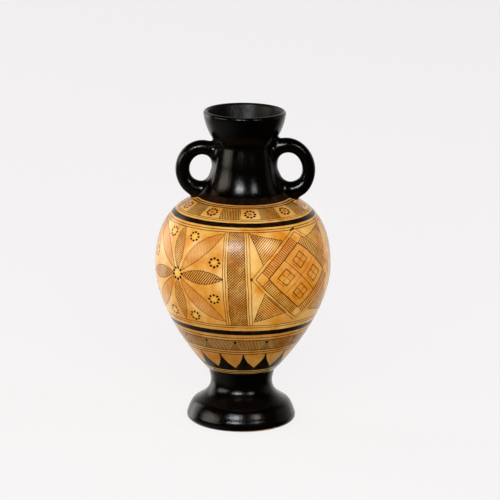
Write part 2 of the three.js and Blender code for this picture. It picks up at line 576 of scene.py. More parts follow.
def lower_belly_pattern(paint, turn, run, ring_run):
    """A low frieze of dots over netted triangles with strokes between, and clay tongues on black."""
    black_from = 43.8
    black_to = 5.6
    pale_to = 9.5
    paint.add("black", ring_run.beyond(black_from))
    ring_lines(paint, ring_run, (41.4, 39.2, 30.5, 28.5, 26.4))
    ring_lines(paint, ring_run, (8.4, 6.6), "black", 0.95)
    paint.add("wash_pale_and_sheen", ring_run.within(pale_to))
    paint.add("black", ring_run.within(black_to))
    paint.add("wash_brown", ring_run.within(44).lower(ring_run.beyond(pale_to)))
    crowding = ((turn - 5) * math.radians(1)).cosine() * 8 - 8
    across = (turn + 6.1 + crowding).wrapped(-TRIANGLE_PITCH / 2, TRIANGLE_PITCH / 2)
    paint.add("black", distance(across * 0.72, run - 37.2).within(1.0, DOT_EDGE))
    frieze = ring_run.near(34.85, 4.4)
    beside_triangle = across.size() + (run - TRIANGLE_RUN) * 0.85
    netted = net(across, run * 1.05, 1.5, LINE)
    paint.add("ink", netted.lower(beside_triangle.within(6.4)).lower(frieze))
    lean = ((turn - 8) * math.radians(1)).sine() * 1.1
    strokes = hatch(turn + lean * (run - 34.9), 1.27, 0.66)
    paint.add("ink", strokes.lower(beside_triangle.beyond(6.9)).lower(frieze))
    down = run.scaled(-1 / TONGUE_LENGTH, TONGUE_TOP / TONGUE_LENGTH, clamp=True)
    tongue = (turn - 1.5).wrapped(0, TONGUE_PITCH) - TONGUE_PITCH / 2 - down * 2.4
    edge = tongue.size() - (1 - down ** 1.9) * TONGUE_HALF
    paint.add("black", edge.beyond(0, soft=0.4).lower(ring_run.near(17.85, 8.25)))


# Materials

# Colours of the pattern that the settings don't hold
COLOURS = {
    "brown": (0.26, 0.100, 0.018, 1),
    "red_line": (0.17, 0.048, 0.007, 1),
    "net": (0.100, 0.032, 0.005, 1),
    "petal": (0.60, 0.25, 0.055, 1),
    "red": (0.40, 0.030, 0.006, 1),
    "yellow": (0.70, 0.47, 0.055, 1),
    "black": (0.0085, 0.0050, 0.0032, 1),
    "thin_black": (0.028, 0.0130, 0.0060, 1),
}

# How the layers go on, first to last: the colour, how fully it covers, and whether the brush leaves it uneven
COVERS = {
    # Pale clay where the glaze is thin, which also lays a painted highlight: the window's sheen on the upper
    # corner piece
    "wash_pale_and_sheen": ("clay_bright", 0.6, True),
    "wash_deep": ("clay_deep", 0.75, True),
    "wash_faint": ("clay_deep", 0.22, False),
    "wash_petal": ("petal", 0.6, True),
    "wash_field": ("clay_deep", 0.72, True),
    "wash_brown": ("brown", 0.25, False),
    "yellow": ("yellow", 0.58, False),
    "red": ("red", 0.95, False),
    "outline": ("ink", 0.6, True),
    "petal_line": ("red_line", 0.62, True),
    "red_line": ("red_line", 0.92, True),
    "net": ("net", 0.9, True),
    "ink_soft": ("ink", 0.82, True),
    "ink": ("ink", 0.95, False),
}


def new_material(name):
    """A material whose tree holds only a shader and the output it feeds."""
    material = bpy.data.materials.new(name)
    material.use_nodes = True
    tree = material.node_tree
    tree.nodes.clear()
    shader = add_node(tree, "ShaderNodeBsdfPrincipled")
    add_node(tree, "ShaderNodeOutputMaterial", {"Surface": shader.outputs[0]})
    return material, tree, shader


def place_on_pot(tree, scale=(1, 1, 1)):
    """Object coordinates, stretched by a scale."""
    place = add_node(tree, "ShaderNodeTexCoord")
    mapping = add_node(tree, "ShaderNodeMapping", {"Vector": place.outputs["Object"], "Scale": scale})
    return mapping.outputs[0]


def noise(tree, size, detail=2.0, roughness=0.5, scale=(1, 1, 1)):
    """A noise texture's outputs, with features of about this size in millimetres."""
    place = place_on_pot(tree, scale)
    inputs = {"Vector": place, "Scale": 1 / (size * MM), "Detail": detail, "Roughness": roughness}
    return add_node(tree, "ShaderNodeTexNoise", inputs).outputs


def noise_level(tree, *settings):
    """A noise texture's level, from 0 to 1 round a half."""
    return Term(tree, noise(tree, *settings)["Fac"])


def noise_shifts(tree, size):
    """Three unlike numbers round zero, from a noise texture's colour."""
    parts = add_node(tree, "ShaderNodeSeparateColor", {0: noise(tree, size, 1)["Color"]})
    return [Term(tree, part) - 0.5 for part in parts.outputs]


def stored(tree, name):
    """A number that the mesh's points hold."""
    return Term(tree, add_node(tree, "ShaderNodeAttribute", attribute_name=name).outputs["Fac"])


def mixed(tree, factor, first, second):
    """Two colours mixed by a factor."""
    made = add_node(tree, "ShaderNodeMix", data_type="RGBA")
    for name, value in (("Factor_Float", factor), ("A_Color", first), ("B_Color", second)):
        socket = next(each for each in made.inputs if each.identifier == name)
        fill(tree, socket, value)
    return next(each for each in made.outputs if each.identifier == "Result_Color")


def bumped(tree, shader, height, strength, depth):
    """Gives a shader bumps from a height."""
    made = add_node(tree, "ShaderNodeBump", {"Strength": strength, "Distance": depth * MM})
    fill(tree, made.inputs["Height"], height)
    tree.links.new(made.outputs[0], shader.inputs["Normal"])


def pattern_colours(settings):
    """Every colour of the painted wall, by name."""
    return {
        **COLOURS,
        "clay": (*settings.clay_colour, 1),
        "clay_deep": (*settings.clay_deep_colour, 1),
        "clay_bright": (*settings.clay_bright_colour, 1),
        "ink": (*settings.ink_colour, 1),
    }


def painted_material(name, draw, colours):
    """Glazed golden clay with a stretch of the brushed pattern on it."""
    material, tree, shader = new_material(name)
    sideways, depth, _ = axis_terms(tree, place_on_pot(tree))
    turn = sideways.angle_from(depth * -1) * math.degrees(1)
    wall_run = stored(tree, "wall_run")
    waver = noise_shifts(tree, 26)
    tremble = noise_shifts(tree, 4.0)
    ring_run = wall_run + waver[2] * 0.9 + tremble[2] * 0.2
    turn = turn + waver[0] * 1.2 + tremble[0] * 0.8
    run = wall_run + waver[1] * 0.9 + tremble[1] * 0.7
    paint = Paint()
    draw(paint, turn, run, ring_run)
    black_round_handle = 1.5
    gap = stored(tree, "handle_gap") + tremble[2] * 1.5
    paint.add("black", gap.within(black_round_handle, soft=0.3))
    blotch = noise_level(tree, 13, 3, 0.6)
    cloud = noise_level(tree, 30)
    speck = noise_level(tree, 1.6, 2, 0.6)
    load = noise_level(tree, 5, 3, 0.6)
    deep = (blotch + cloud * 0.6 + speck * 0.25).scaled(4.2, -3.45, clamp=True)
    bright = (cloud - blotch * 0.4).scaled(3.6, -1.0, clamp=True)
    colour = mixed(tree, deep * 0.85, colours["clay"], colours["clay_deep"])
    colour = mixed(tree, bright * 0.65, colour, colours["clay_bright"])
    strength = load.scaled(1.7, 0.1, clamp=True)
    pooling = (load * 0.6 + blotch * 0.4).scaled(3.4, -0.95, clamp=True)
    for layer, (colour_name, share, uneven) in COVERS.items():
        if layer in paint.layers:
            cover = paint.layers[layer] * share
            if uneven:
                cover = cover * (pooling if layer.startswith("wash") else strength)
            colour = mixed(tree, cover, colour, colours[colour_name])
    black = mixed(tree, load.scaled(2.5, -1.0, clamp=True), colours["black"], colours["thin_black"])
    colour = mixed(tree, paint.layers["black"], colour, black)
    roughness = load.scaled(0.16, 0.15)
    fill_inputs(tree, shader, {"Base Color": colour, "Roughness": roughness, "Specular IOR Level": 0.22})
    grain = noise_level(tree, 0.9)
    bumped(tree, shader, grain + blotch * 2, 0.25, 0.05)
    return material


# Where the black glaze fired brown, by the left handle's lower joint: the patch's middle, reach and edge
BROWN_PATCH = (-21.5, -17.5, 150.5)
BROWN_REACH = 4.5
BROWN_EDGE = 5


def black_glaze_material(settings):
    """Satin black glaze with fine pits, faint brush streaks, one brown patch and a bare standing edge."""
    material, tree, shader = new_material("black_glaze")
    sideways, depth, height = (axis / MM for axis in axis_terms(tree, place_on_pot(tree)))
    cloud = noise_level(tree, 12, 3, 0.6)
    thin = (0.0045, 0.0026, 0.0015, 1)
    colour = mixed(tree, cloud.scaled(2.2, -0.9, clamp=True), (*settings.glaze_colour, 1), thin)
    worn = noise_level(tree, 2.5, 3, 0.7)
    from_side = distance(sideways - BROWN_PATCH[0], depth - BROWN_PATCH[1])
    from_patch = distance(from_side, (height - BROWN_PATCH[2]) * 0.7)
    brown = from_patch.within(BROWN_REACH, BROWN_EDGE) * worn.scaled(3.2, -1.2, clamp=True)
    colour = mixed(tree, brown * 0.8, colour, (0.085, 0.045, 0.022, 1))
    edge_height = 1.6
    standing_edge = (height + worn * 1.4 - sideways * 0.03).within(edge_height, soft=0.25)
    colour = mixed(tree, standing_edge, colour, (0.50, 0.26, 0.09, 1))
    normal = axis_terms(tree, add_node(tree, "ShaderNodeNewGeometry").outputs["Normal"])
    outwards = normal[0] * sideways + normal[1] * depth
    cup_height = 182
    neck_height = 140
    inside_mouth = outwards.within(0, soft=4).lower(height.beyond(cup_height, soft=2))
    downward = normal[2].within(-0.45, soft=0.3).lower(height.beyond(neck_height, soft=2))
    grain = noise_level(tree, 0.8, 2, 0.6)
    streaks = noise_level(tree, 1.5, 2, 0.5, (1, 1, 0.14))
    uneven = cloud.scaled(0.10, 0.09) + streaks.scaled(0.24, -0.10, clamp=True)
    fill_inputs(tree, shader, {
        "Base Color": colour,
        "Roughness": uneven + inside_mouth * 0.26,
        "Specular IOR Level": downward.scaled(-0.22, 0.28),
    })
    bumped(tree, shader, grain * 1.6 + streaks * 1.2 + cloud * 1.2, 0.6, 0.09)
    return material


def bare_clay_material():
    """Unglazed fired clay of the standing ring and the hollow beneath."""
    material, tree, shader = new_material("bare_clay")
    speckle = noise_level(tree, 2.2, 4, 0.65)
    pale = (0.62, 0.33, 0.15, 1)
    dark = (0.40, 0.17, 0.065, 1)
    colour = mixed(tree, speckle.scaled(2.4, -0.7, clamp=True), pale, dark)
    fill_inputs(tree, shader, {"Base Color": colour, "Roughness": speckle.scaled(0.2, 0.68)})
    bumped(tree, shader, speckle, 0.5, 0.12)
    return material


# The pot's shape


def stretch(start, pull_start, pull_end, end, steps):
    """Points of one stretch of a profile, bent towards two pull points, without its last point."""
    share = np.linspace(0, 1, steps + 1)[:-1, None]
    rest = 1 - share
    corners = [np.array(corner, float) for corner in (start, pull_start, pull_end, end)]
    weights = (rest**3, 3 * share * rest**2, 3 * share**2 * rest, share**3)
    return sum(weight * corner for weight, corner in zip(weights, corners))


def foot_profile():
    """The foot: a rounded standing edge, an upright side, a dome and a hollow sweep up to the stem."""
    return np.vstack([
        stretch(STANDING_EDGE, (32.3, 0.4), (34.4, 1.6), FOOT_EDGE, 6),
        stretch(FOOT_EDGE, (34.4, 6), (33.6, 6.2), FOOT_CREASE, 6),
        stretch(FOOT_CREASE, (30.8, 13.9), (30, 13.5), FOOT_SWEEP, 14),
        stretch(FOOT_SWEEP, (21.3, 19), (19.5, 21.9), STEM_WAIST, 12),
        stretch(STEM_WAIST, (19.5, 28.7), (20.8, 32.8), STEM_TOP, 8),
        [STEM_TOP],
    ])


def body_profile(finer=1):
    """The belly, shoulder, neck and cup, from the ledge above the stem to the lip."""
    return np.vstack([
        stretch(BELLY_BASE, (37.2, 51), (55.3, 78.5), BELLY, round(44 * finer)),
        stretch(BELLY, (55.3, 127), (45.5, 139.7), SHOULDER_EDGE, round(40 * finer)),
        stretch(SHOULDER_EDGE, (24.8, 147.1), (20.8, 153.6), NECK, round(26 * finer)),
        stretch(NECK, (18.45, 171.7), (17.65, 175.2), THROAT, round(14 * finer)),
        stretch(THROAT, (21, 182.7), (25.3, 190.6), MOUTH, round(20 * finer)),
        [MOUTH],
    ])


def lip(from_degrees, to_degrees, steps=7):
    """A stretch of the rounded lip between two directions, in degrees from the outward radius."""
    angles = np.radians(np.linspace(from_degrees, to_degrees, steps + 1))
    centre = (MOUTH[0] - LIP_RADIUS, MOUTH[1])
    return np.column_stack([np.cos(angles), np.sin(angles)]) * LIP_RADIUS + centre


def inset(points, thickness):
    """A profile moved inwards by a thickness, square to itself."""
    along = np.gradient(points, axis=0)
    along /= np.linalg.norm(along, axis=1)[:, None]
    return points + thickness * np.column_stack([-along[:, 1], along[:, 0]])


def wall_section():
    """The pot's half section without its handles, from the top of the foot's hollow to the belly's floor."""
    hollow_edge = (STANDING_RING_INSIDE, 0)
    hollow = np.vstack([
        stretch((0, FOOT_HOLLOW_HEIGHT), (8, FOOT_HOLLOW_HEIGHT), (12.4, 25.5), FOOT_HOLLOW_SIDE, 8),
        stretch(FOOT_HOLLOW_SIDE, (13, 12), (22, 8), hollow_edge, 12),
        [hollow_edge],
    ])
    inner = inset(body_profile(finer=0.6), WALL)
    lowest = FLOOR_HEIGHT + WALL / 2
    highest = MOUTH[1] - 2 * LIP_RADIUS
    side = inner[(inner[:, 1] > lowest) & (inner[:, 1] < highest)]
    flat_share_of_floor = 0.7
    floor_edge = (side[0][0] * flat_share_of_floor, FLOOR_HEIGHT)
    floor = np.vstack([[side[0]], [floor_edge], [(0, FLOOR_HEIGHT)]])
    return np.vstack([hollow, foot_profile(), body_profile(), lip(0, 180)[1:], side[:0:-1], floor])


def core_section():
    """The middle of the wall as a solid, which holds the space where no handle may show."""
    middle = inset(body_profile(finer=0.5), WALL / 2)
    side = middle[(middle[:, 1] > FLOOR_HEIGHT) & (middle[:, 1] < MOUTH[1] - LIP_RADIUS)]
    return np.vstack([[(0, side[0][1])], side, [(0, side[-1][1])]])


def new_object(name, data):
    """An object of this name in the scene."""
    made = bpy.data.objects.new(name, data)
    bpy.context.scene.collection.objects.link(made)
    return made


def section_curve(name, points):
    """A half section as a curve object in the XZ plane, in metres."""
    curve = bpy.data.curves.new(name, "CURVE")
    curve.dimensions = "3D"
    spline = curve.splines.new("POLY")
    spline.points.add(len(points) - 1)
    for point, (radius, height) in zip(spline.points, points):
        point.co = (radius * MM, 0, height * MM, 1)
    return new_object(name, curve)


def new_geometry_tree(name, inputs):
    """A geometry node tree with named inputs and one geometry output."""
    tree = bpy.data.node_groups.new(name, "GeometryNodeTree")
    for label, kind in inputs:
        tree.interface.new_socket(label, in_out="INPUT", socket_type=kind)
    tree.interface.new_socket("Geometry", in_out="OUTPUT", socket_type="NodeSocketGeometry")
    return tree, add_node(tree, "NodeGroupInput").outputs


def finish_tree(tree, geometry, material):
    """Ends a tree: smooth faces, one material, instances made real."""
    smooth = add_node(tree, "GeometryNodeSetShadeSmooth", {"Geometry": geometry})
    real = add_node(tree, "GeometryNodeRealizeInstances", {"Geometry": smooth.outputs[0]})
    painted = add_node(tree, "GeometryNodeSetMaterial", {"Geometry": real.outputs[0], "Material": material})
    add_node(tree, "NodeGroupOutput", {"Geometry": painted.outputs[0]})


def turned_wall_tree():
    """Turns a half section round the axis: each column of a grid takes its points, at its own angle."""
    tree, given = new_geometry_tree("turned wall", (
        ("Section", "NodeSocketObject"), ("Facets", "NodeSocketInt"), ("Glaze", "NodeSocketMaterial"),
    ))
    section = add_node(tree, "GeometryNodeObjectInfo", {"Object": given["Section"]}).outputs["Geometry"]
    size = add_node(tree, "GeometryNodeAttributeDomainSize", {"Geometry": section}, component="CURVE")
    rows = Term(tree, size.outputs["Point Count"])
    facets = Term(tree, given["Facets"])
    grid = add_node(tree, "GeometryNodeMeshGrid", {"Vertices X": facets + 1, "Vertices Y": rows})
    index = Term(tree, add_node(tree, "GeometryNodeInputIndex").outputs[0])
    column = index.worked("FLOOR", (index + 0.5) / rows)
    point = add_node(
        tree, "GeometryNodeSampleIndex",
        {"Geometry": section, "Index": index - column * rows},
        data_type="FLOAT_VECTOR", domain="POINT",
    )
    position = add_node(tree, "GeometryNodeInputPosition")
    tree.links.new(position.outputs[0], point.inputs["Value"])
    radius, _, height = axis_terms(tree, point.outputs["Value"])
    angle = column / facets * (2 * math.pi)
    placed = add_node(tree, "ShaderNodeCombineXYZ", {
        "X": radius * angle.cosine(), "Y": radius * angle.sine(), "Z": height,
    })
    moved = add_node(tree, "GeometryNodeSetPosition", {
        "Geometry": grid.outputs["Mesh"], "Position": placed.outputs[0],
    })
    seam = 0.002 * MM
    closed = add_node(tree, "GeometryNodeMergeByDistance", {"Geometry": moved.outputs[0], "Distance": seam})
    finish_tree(tree, closed.outputs[0], given["Glaze"])
    return tree


def ring_handle_tree():
    """A bar round a leaning ellipse, thinnest at its outermost point and thickest where it meets the neck."""
    numbers = (
        "Centre Out", "Centre Up", "Half Width", "Half Height", "Lean", "Outer", "Top", "Bottom", "Turn",
    )
    inputs = [(label, "NodeSocketFloat") for label in numbers]
    inputs += [("Steps", "NodeSocketInt"), ("Facets", "NodeSocketInt"), ("Glaze", "NodeSocketMaterial")]
    tree, given = new_geometry_tree("ring handle", inputs)
    number = {label: Term(tree, given[label]) for label in numbers}
    circle = add_node(tree, "GeometryNodeCurvePrimitiveCircle", {"Resolution": given["Steps"]})
    index = Term(tree, add_node(tree, "GeometryNodeInputIndex").outputs[0])
    angle = index / given["Steps"] * (2 * math.pi)
    cosine, sine = angle.cosine(), angle.sine()
    across = cosine * number["Half Width"]
    up = sine * number["Half Height"]
    lean_cosine, lean_sine = number["Lean"].cosine(), number["Lean"].sine()
    out = across * lean_cosine - up * lean_sine + number["Centre Out"]
    height = across * lean_sine + up * lean_cosine + number["Centre Up"]
    placed = add_node(tree, "ShaderNodeCombineXYZ", {"X": out, "Z": height})
    ellipse = add_node(tree, "GeometryNodeSetPosition", {
        "Geometry": circle.outputs["Curve"], "Position": placed.outputs[0],
    })
    above = sine.scaled(BAR_PASSAGE, 0.5, clamp=True)
    end = number["Top"] * above + number["Bottom"] * (1 - above)
    beside_neck = cosine.worked("LESS_THAN", cosine, 0.0)
    share = beside_neck.higher(sine.size() ** 4)
    bar = number["Outer"] + (end - number["Outer"]) * share
    thick = add_node(tree, "GeometryNodeSetCurveRadius", {"Curve": ellipse.outputs[0], "Radius": bar})
    section = add_node(tree, "GeometryNodeCurvePrimitiveCircle", {
        "Resolution": given["Facets"], "Radius": 1.0,
    })
    radius = add_node(tree, "GeometryNodeInputRadius")
    tube = add_node(tree, "GeometryNodeCurveToMesh", {
        "Curve": thick.outputs[0], "Profile Curve": section.outputs["Curve"], "Scale": radius.outputs[0],
    })
    facing = add_node(tree, "ShaderNodeCombineXYZ", {"Z": number["Turn"]})
    placed_ring = add_node(tree, "GeometryNodeTransform", {
        "Geometry": tube.outputs[0], "Rotation": facing.outputs[0],
    })
    finish_tree(tree, placed_ring.outputs[0], given["Glaze"])
    return tree


def evaluated_mesh(piece):
    """A new mesh of an object as its modifiers make it."""
    bpy.context.view_layer.update()
    return bpy.data.meshes.new_from_object(piece.evaluated_get(bpy.context.evaluated_depsgraph_get()))


def made_by_tree(name, tree, values):
    """A mesh object from a tree with its named inputs set, the modifier gone."""
    holder = new_object(name + "_tree", bpy.data.meshes.new(name + "_tree"))
    modifier = holder.modifiers.new(name, "NODES")
    modifier.node_group = tree
    identifiers = {item.name: item.identifier for item in tree.interface.items_tree if item.in_out == "INPUT"}
    for label, value in values.items():
        modifier[identifiers[label]] = value
    mesh = evaluated_mesh(holder)
    mesh.name = name
    bpy.data.objects.remove(holder)
    face_outwards(mesh)
    return new_object(name, mesh)


def face_outwards(mesh):
    """Turns the faces of a closed mesh to point out."""
    work = bmesh.new()
    work.from_mesh(mesh)
    bmesh.ops.recalc_face_normals(work, faces=work.faces)
    if work.calc_volume(signed=True) < 0:
        bmesh.ops.reverse_faces(work, faces=work.faces)
    work.to_mesh(mesh)
    work.free()


def turned_solid(name, points, facets, glaze):
    """A closed solid of revolution from a half section."""
    section = section_curve(name + "_section", points)
    tree = bpy.data.node_groups.get("turned wall") or turned_wall_tree()
    made = made_by_tree(name, tree, {"Section": section, "Facets": facets, "Glaze": glaze})
    bpy.data.objects.remove(section)
    return made


def ring_handle(name, handle, steps, facets, glaze):
    """One ring handle, whole, as the tree makes it."""
    tree = bpy.data.node_groups.get("ring handle") or ring_handle_tree()
    return made_by_tree(name, tree, {
        "Centre Out": handle["centre"][0] * MM,
        "Centre Up": handle["centre"][1] * MM,
        "Half Width": handle["half_width"] * MM,
        "Half Height": handle["half_height"] * MM,
        "Lean": handle["lean"],
        "Outer": handle["bar"]["outer"] * MM,
        "Top": handle["bar"]["top"] * MM,
        "Bottom": handle["bar"]["bottom"] * MM,
        "Turn": handle["turn"],
        "Steps": steps,
        "Facets": facets,
        "Glaze": glaze,
    })


def cut_or_joined(piece, other, operation):
    """Cuts a closed mesh by another one or joins them, in place."""
    modifier = piece.modifiers.new(operation, "BOOLEAN")
    modifier.operation = operation
    modifier.solver = "MANIFOLD"
    modifier.object = other
    mesh = evaluated_mesh(piece)
    piece.modifiers.remove(modifier)
    old = piece.data
    piece.data = mesh
    bpy.data.meshes.remove(old)
    if not mesh.polygons:
        raise RuntimeError(f"{operation} left nothing of {piece.name}")


def read_vectors(parts, name):
    """A vector of each of a mesh's points or faces, as rows."""
    vectors = np.empty(len(parts) * 3)
    parts.foreach_get(name, vectors)
    return vectors.reshape(-1, 3)


def vertex_places(mesh):
    """The mesh's points in millimetres."""
    return read_vectors(mesh.vertices, "co") / MM


def ring_line(handle, count=240):
    """Points on the middle of a handle's bar and the bar's radius there, in millimetres."""
    angle = np.linspace(0, 2 * math.pi, count, endpoint=False)
    across = handle["half_width"] * np.cos(angle)
    up = handle["half_height"] * np.sin(angle)
    lean_cosine, lean_sine = math.cos(handle["lean"]), math.sin(handle["lean"])
    out = across * lean_cosine - up * lean_sine + handle["centre"][0]
    height = across * lean_sine + up * lean_cosine + handle["centre"][1]
    bar = handle["bar"]
    above = np.clip(np.sin(angle) * BAR_PASSAGE + 0.5, 0, 1)
    end = bar["bottom"] + (bar["top"] - bar["bottom"]) * above
    share = np.where(np.cos(angle) < 0, 1, np.sin(angle) ** 4)
    radii = bar["outer"] + (end - bar["outer"]) * share
    facing = math.cos(handle["turn"])
    return np.column_stack([out * facing, np.zeros(count), height]), radii


def handle_distance(places):
    """How far points stand off the nearer handle's skin, and the way out from it."""
    best = np.full(len(places), np.inf)
    way = np.zeros((len(places), 3))
    for handle in (LEFT_HANDLE, RIGHT_HANDLE):
        middles, radii = ring_line(handle)
        offset = places[:, None] - middles[None]
        length = np.linalg.norm(offset, axis=2)
        nearest = (length - radii).argmin(axis=1)
        row = np.arange(len(places))
        found = length[row, nearest] - radii[nearest]
        nearer = found < best
        best[nearer] = found[nearer]
        way[nearer] = offset[row, nearest][nearer] / length[row, nearest][nearer, None]
    return best, way


def wall_distance(places):
    """How far points stand off the turned outer wall, and the way out from it."""
    outline = body_profile(finer=2)
    flat = np.column_stack([np.hypot(places[:, 0], places[:, 1]), places[:, 2]])
    start, along = outline[:-1], np.diff(outline, axis=0)
    offset = flat[:, None] - start[None]
    share = np.clip((offset * along).sum(2) / (along**2).sum(1), 0, 1)
    gap = offset - share[..., None] * along
    length = np.linalg.norm(gap, axis=2)
    nearest = length.argmin(axis=1)
    row = np.arange(len(places))
    side = along[nearest]
    outward = np.column_stack([side[:, 1], -side[:, 0]]) / np.linalg.norm(side, axis=1)[:, None]
    found = (gap[row, nearest] * outward).sum(1)
    least_radius = 1e-9
    radius = np.maximum(flat[:, 0], least_radius)
    way = np.column_stack([
        outward[:, 0] * places[:, 0] / radius, outward[:, 0] * places[:, 1] / radius, outward[:, 1],
    ])
    return found, way


def soften_joints(mesh, width):
    """Fills the corners where handles meet the wall over about this width, as clay that was wiped smooth."""
    places = vertex_places(mesh)
    near = np.where((places[:, 2] > JOINT_HEIGHTS[0]) & (places[:, 2] < JOINT_HEIGHTS[1]))[0]
    moving = places[near]
    below_skin = 0.08
    least_way = 0.2
    rounds = 6
    for step in range(rounds):
        handle, handle_way = handle_distance(moving)
        wall, wall_way = wall_distance(moving)
        if step == 0:
            outside = (np.minimum(handle, wall) > -below_skin) & (abs(handle - wall) < width)
            near, moving = near[outside], moving[outside]
            handle, wall = handle[outside], wall[outside]
            handle_way, wall_way = handle_way[outside], wall_way[outside]
        share = np.clip(0.5 + 0.5 * (wall - handle) / width, 0, 1)
        blended = wall * (1 - share) + handle * share - width * share * (1 - share)
        way = handle_way * share[:, None] + wall_way * (1 - share)[:, None]
        moving = moving - way * (blended / np.maximum((way**2).sum(1), least_way))[:, None]
    places[near] = moving
    mesh.vertices.foreach_set("co", (places * MM).ravel())
    mesh.update()


def wall_runs(heights):
    """The run of the wall's surface at these heights."""
    outline = body_profile(finer=2)
    steps = np.linalg.norm(np.diff(outline, axis=0), axis=1)
    runs = RUN_AT_BELLY_BASE + np.concatenate([[0], np.cumsum(steps)])
    return np.interp(heights, outline[:, 1], runs)


def store_wall_places(mesh):
    """Stores each point's run up the wall and its gap to the nearer handle, which the painted glazes read."""
    places = vertex_places(mesh)
    far_off = 50.0
    below_handles = 128
    gaps = np.full(len(places), far_off)
    near = places[:, 2] > below_handles
    gaps[near] = handle_distance(places[near])[0]
    for name, values in (("wall_run", wall_runs(places[:, 2])), ("handle_gap", gaps)):
        attribute = mesh.attributes.new(name, "FLOAT", "POINT")
        attribute.data.foreach_set("value", values.astype(np.float32))


def glaze_faces(mesh, glazes):
    """Gives each face its place's glaze: painted zones on the outer wall, clay beneath, black elsewhere."""
    mesh.materials.clear()
    for glaze in glazes.values():
        mesh.materials.append(glaze)
    order = list(glazes)
    centres = read_vectors(mesh.polygons, "center") / MM
    height = centres[:, 2]
    radius = np.hypot(centres[:, 0], centres[:, 1])
    facing_up = read_vectors(mesh.polygons, "normal")[:, 2]
    wall_skin = 1.2
    likely = (height > BELLY_BASE[1] - 0.2) & (height < PAINT_TOP_HEIGHT)
    on_wall = np.zeros(len(centres), bool)
    on_wall[likely] = abs(wall_distance(centres[likely])[0]) < wall_skin
    run = wall_runs(height)
    choice = np.full(len(centres), order.index("black"))
    choice[on_wall & (run <= LOWER_ZONE_TOP)] = order.index("lower")
    choice[on_wall & (run > LOWER_ZONE_TOP) & (run <= FRIEZE_TOP)] = order.index("frieze")
    choice[on_wall & (run > FRIEZE_TOP)] = order.index("shoulder")
    in_foot = (height < FOOT_HOLLOW_HEIGHT + 0.1) & (radius < STANDING_EDGE[0] + 0.2)
    beneath = in_foot & (facing_up < -0.2)
    height_at_ring = 12
    under_sweep = height < height_at_ring + STANDING_RING_INSIDE - radius
    hollow_wall = (radius < STANDING_RING_INSIDE) & (height < FOOT_HOLLOW_SIDE[1]) & under_sweep
    choice[beneath | hollow_wall] = order.index("bare")
    mesh.polygons.foreach_set("material_index", choice.astype(np.int32))
    mesh.polygons.foreach_set("use_smooth", np.ones(len(centres), bool))


# Settings, an operator for the pot and one for the stage, and the panel


class AmphoraPot(bpy.types.PropertyGroup):
    """Fineness, joints and glaze colours of the pot."""

    turn_facets: bpy.props.IntProperty(
        name="Facets round",
        description="Facets round the turned wall",
        default=240,
        min=24,
    )
    ring_steps: bpy.props.IntProperty(
        name="Ring steps",
        description="Steps along each ring handle's bar",
        default=112,
        min=16,
    )
    bar_facets: bpy.props.IntProperty(
        name="Bar facets",
        description="Facets round each handle's bar",
        default=40,
        min=8,
    )
    joint_width: bpy.props.FloatProperty(
        name="Joint width",
        description="How widely the clay was wiped smooth where a handle meets the neck",
        default=0.004,
        min=0.001,
        max=0.006,
        unit="LENGTH",
    )
    clay_colour: bpy.props.FloatVectorProperty(
        name="Clay",
        description="Colour of the clay under its honey glaze",
        default=(0.60, 0.340, 0.090),
        subtype="COLOR",
        size=3,
    )
    clay_deep_colour: bpy.props.FloatVectorProperty(
        name="Deep clay",
        description="Colour of the clay where the honey glaze ran together",
        default=(0.50, 0.190, 0.014),
        subtype="COLOR",
        size=3,
    )
    clay_bright_colour: bpy.props.FloatVectorProperty(
        name="Pale clay",
        description="Colour of the clay where the honey glaze is thin",
        default=(0.70, 0.490, 0.215),
        subtype="COLOR",
        size=3,
    )
    ink_colour: bpy.props.FloatVectorProperty(
        name="Ink",
        description="Colour of the thin brushed lines",
        default=(0.030, 0.009, 0.002),
        subtype="COLOR",
        size=3,
    )
    glaze_colour: bpy.props.FloatVectorProperty(
        name="Black glaze",
        description="Colour of the black glaze where it is thick",
        default=(0.0012, 0.0009, 0.0007),
        subtype="COLOR",
        size=3,
    )


class AmphoraStage(bpy.types.PropertyGroup):
    """Colours and strengths of the stage."""

    floor_colour: bpy.props.FloatVectorProperty(
        name="Floor colour",
        description="Colour of the pale floor",
        default=(0.93, 0.915, 0.92),
        subtype="COLOR",
        size=3,
    )
    floor_size: bpy.props.FloatProperty(
        name="Floor size",
        description="Length of the floor's sides",
        default=24,
        min=1,
        unit="LENGTH",
    )
    backdrop_strength: bpy.props.FloatProperty(
        name="Backdrop",
        description="How bright the backdrop behind the floor is",
        default=0.95,
        min=0,
    )
    soft_strength: bpy.props.FloatProperty(
        name="Soft light",
        description="Share of their usual strength that the lights on the clay have",
        default=1,
        min=0,
        subtype="FACTOR",
        soft_max=2,
    )
    mirrored_strength: bpy.props.FloatProperty(
        name="Mirrored light",
        description="Share of their usual strength that the windows mirrored in the glaze have",
        default=1,
        min=0,
        subtype="FACTOR",
        soft_max=2,
    )


